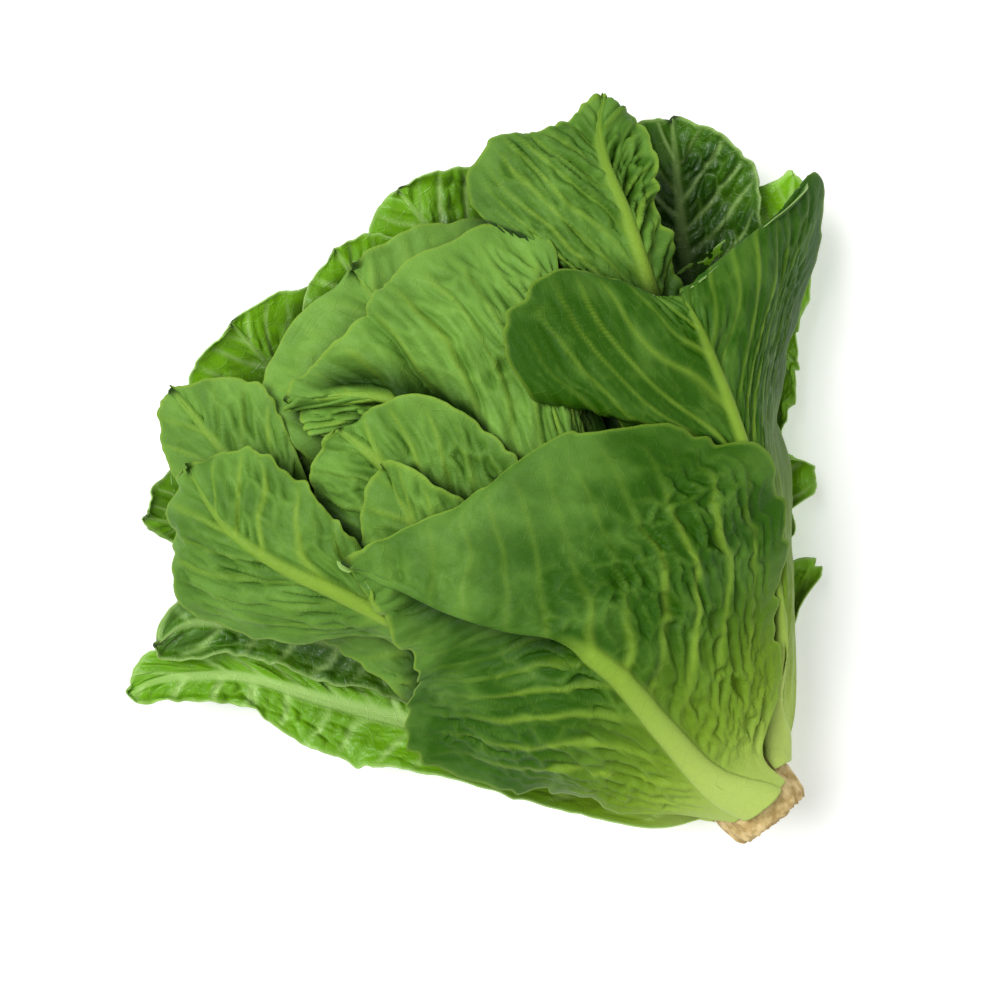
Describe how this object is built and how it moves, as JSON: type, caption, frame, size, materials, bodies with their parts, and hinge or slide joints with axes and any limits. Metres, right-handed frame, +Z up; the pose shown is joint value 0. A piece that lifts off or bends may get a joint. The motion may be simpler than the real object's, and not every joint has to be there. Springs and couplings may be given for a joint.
{
  "type": "romaine lettuce head",
  "caption": "Whole romaine lettuce head lying on its side, with broad puckered green leaves fanned from a pale ribbed base and a short cut stump.",
  "frame": {"origin": "on the surface the head lies on, below the centre of its bounding box", "axes": "+Y from the cut stump towards the leaf tips, +X across the fan of leaves, +Z up from the surface the head lies on"},
  "size_m": [0.3166, 0.2644, 0.1089],
  "materials": {
    "upper_leaf": "satin",
    "lower_leaf": "semi-gloss",
    "stem": "matte"
  },
  "bodies": {
    "root": {"bottom_outer_leaf": "lower_leaf", "lower_left_leaf": "lower_leaf", "right_under_leaf": "lower_leaf", "far_right_leaf": "lower_leaf", "far_left_leaf": "lower_leaf", "left_tip_leaf": "lower_leaf", "left_under_leaf": "lower_leaf", "far_middle_right_leaf": "lower_leaf", "far_middle_leaf": "lower_leaf", "lower_heart_leaf": "lower_leaf", "inner_heart_leaf": "lower_leaf", "small_heart_leaf": "upper_leaf", "upper_heart_leaf": "upper_leaf", "right_inner_leaf": "upper_leaf", "left_inner_leaf": "upper_leaf", "left_middle_leaf": "upper_leaf", "smooth_fold_leaf": "upper_leaf", "upper_right_leaf": "upper_leaf", "upper_left_leaf": "upper_leaf", "centre_leaf": "upper_leaf", "light_middle_leaf": "upper_leaf", "small_middle_leaf": "upper_leaf", "left_outer_leaf": "upper_leaf", "right_outer_leaf": "upper_leaf", "top_outer_leaf": "upper_leaf", "stem": "stem"}
  },
  "joints": []
}
